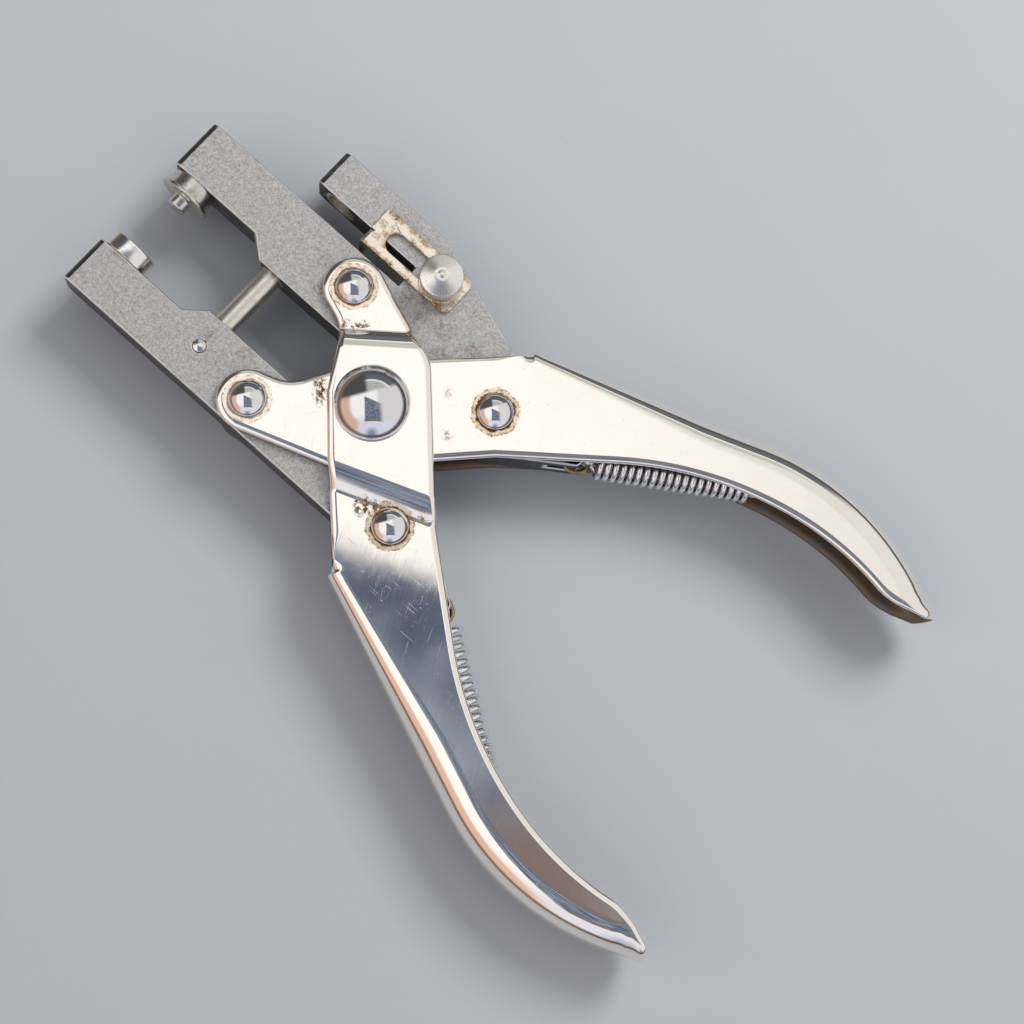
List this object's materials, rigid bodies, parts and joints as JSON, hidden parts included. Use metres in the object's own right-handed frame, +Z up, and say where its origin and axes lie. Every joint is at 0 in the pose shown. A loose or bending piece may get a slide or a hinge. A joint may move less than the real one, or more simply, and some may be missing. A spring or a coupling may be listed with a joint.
{
  "type": "eyelet pliers",
  "caption": "Parallel-action eyelet setting pliers with crossed folded-sheet handles, return springs, a built-in hole punch and an adjustable depth gauge.",
  "frame": {"origin": "centre of the flat lower head of the main pivot rivet", "axes": "+X towards the jaw noses, +Y towards the straight jaw, +Z up along the main pivot rivet, to its dome"},
  "size_m": [0.1576, 0.0948, 0.0205],
  "materials": {
    "nickel_plate": "bright nickel plate, fine scratches, rust rings at the rivets",
    "hammertone": "grey hammertone over cast steel, worn bright at the edges",
    "rivet_nickel": "polished nickel",
    "pivot_steel": "plain turned steel",
    "die_steel": "bright turned steel",
    "punch_steel": "hardened steel, slightly straw coloured",
    "pin_steel": "plain steel pin",
    "spring_wire": "dull zinc-coated spring wire",
    "link_wire": "coppered wire",
    "gauge_nickel": "nickel plate with brown patches",
    "screw_steel": "turned and knurled nickel-plated steel"
  },
  "bodies": {
    "pivot": {"main_pivot_rivet": "rivet_nickel", "pivot_sleeve": "pivot_steel"},
    "inner_handle": {"inner_handle": "nickel_plate", "straight_jaw_hinge_rivet": "rivet_nickel", "forked_jaw_slide_rivet": "rivet_nickel", "inner_spring_anchor_pin": "pin_steel", "inner_return_spring": "spring_wire"},
    "inner_spring_link": {"inner_spring_link": "link_wire"},
    "outer_handle": {"outer_handle": "nickel_plate", "forked_jaw_hinge_rivet": "rivet_nickel", "straight_jaw_slide_rivet": "rivet_nickel", "outer_spring_anchor_pin": "pin_steel", "outer_return_spring": "spring_wire"},
    "outer_spring_link": {"outer_spring_link": "link_wire"},
    "forked_jaw": {"forked_jaw": "hammertone", "setting_die": "die_steel", "punch_die_bush": "punch_steel", "forked_jaw_tail_pin": "pin_steel"},
    "straight_jaw": {"straight_jaw": "hammertone", "cup_die": "die_steel", "punch_rod": "punch_steel", "punch_cross_pin": "pin_steel", "straight_jaw_tail_pin": "pin_steel"},
    "depth_gauge": {"gauge_plate": "gauge_nickel"},
    "thumb_screw": {"thumb_screw": "screw_steel", "gauge_washer": "gauge_nickel"}
  },
  "joints": [
    {"name": "inner_handle_turn", "type": "hinge", "parent": "pivot", "child": "inner_handle", "pos_m": [0, 0, 0.0089], "axis": [0, 0, -1], "range_deg": [0, 16.8], "stiffness_Nm_per_rad": 1.1, "springref_deg": -5.16},
    {"name": "outer_handle_turn", "type": "hinge", "parent": "pivot", "child": "outer_handle", "pos_m": [0, 0, 0.0089], "axis": [0, 0, 1], "range_deg": [0, 16.8]},
    {"name": "forked_jaw_turn", "type": "hinge", "parent": "outer_handle", "child": "forked_jaw", "pos_m": [0.01698, -0.01399, 0.0089], "axis": [0, 0, -1], "range_deg": [0, 16.8]},
    {"name": "straight_jaw_turn", "type": "hinge", "parent": "inner_handle", "child": "straight_jaw", "pos_m": [0.01698, 0.01399, 0.0089], "axis": [0, 0, 1], "range_deg": [0, 16.8]},
    {"name": "inner_link_swing", "type": "hinge", "parent": "inner_handle", "child": "inner_spring_link", "pos_m": [-0.02137, 0.00506, 0.0089], "axis": [0, 0, 1], "range_deg": [0, 19.16], "deforming": ["inner_return_spring"]},
    {"name": "outer_link_swing", "type": "hinge", "parent": "outer_handle", "child": "outer_spring_link", "pos_m": [-0.02137, -0.00506, 0.0089], "axis": [0, 0, -1], "range_deg": [0, 19.16], "deforming": ["outer_return_spring"]},
    {"name": "gauge_slide", "type": "slide", "parent": "forked_jaw", "child": "depth_gauge", "axis": [-1, 0, 0], "range_m": [0, 0.0085]},
    {"name": "thumb_screw_turn", "type": "hinge", "parent": "forked_jaw", "child": "thumb_screw", "pos_m": [0.00618, -0.02519, 0.0089], "axis": [0, 0, 1], "range_deg": [0, 180]}
  ],
  "couplings": [
    {"joint": "outer_handle_turn", "follows": "inner_handle_turn", "ratio": 1},
    {"joint": "forked_jaw_turn", "follows": "inner_handle_turn", "ratio": 1},
    {"joint": "straight_jaw_turn", "follows": "inner_handle_turn", "ratio": 1},
    {"joint": "inner_link_swing", "follows": "inner_handle_turn", "ratio": 1.14},
    {"joint": "outer_link_swing", "follows": "inner_handle_turn", "ratio": 1.14}
  ]
}
